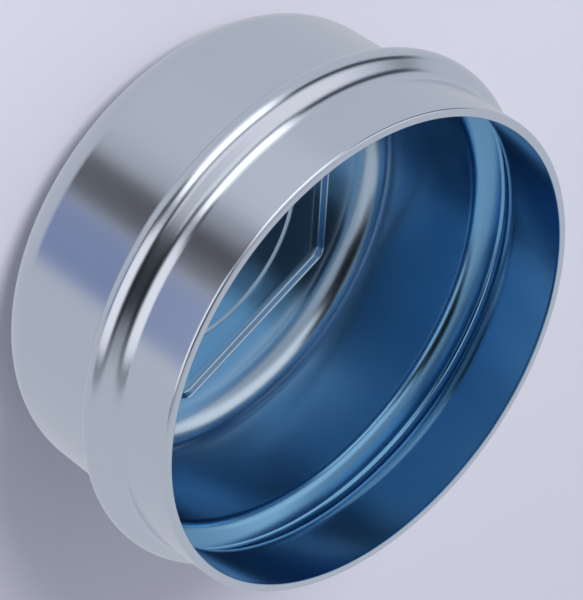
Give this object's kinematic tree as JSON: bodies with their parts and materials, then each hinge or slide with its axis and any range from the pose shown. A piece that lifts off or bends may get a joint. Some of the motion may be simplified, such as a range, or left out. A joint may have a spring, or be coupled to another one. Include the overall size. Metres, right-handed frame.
{
  "type": "wheel hub grease cap",
  "caption": "Deep-drawn sheet steel hub cap with a press-in collar, a stop bead and a hexagonal stiffening bead in its closed end.",
  "frame": {"origin": "centre of the closed end, in the plane of the crest of the hexagonal bead that the cap stands on", "axes": "+Z along the axis of the cap, out of its open end; +X through a corner of the hexagonal bead"},
  "size_m": [0.091, 0.091, 0.0435],
  "materials": {
    "zinc_plate": "bright zinc plate with a blue passivation film, over drawn steel"
  },
  "bodies": {
    "root": {"hub_cap": "zinc_plate"}
  },
  "joints": []
}
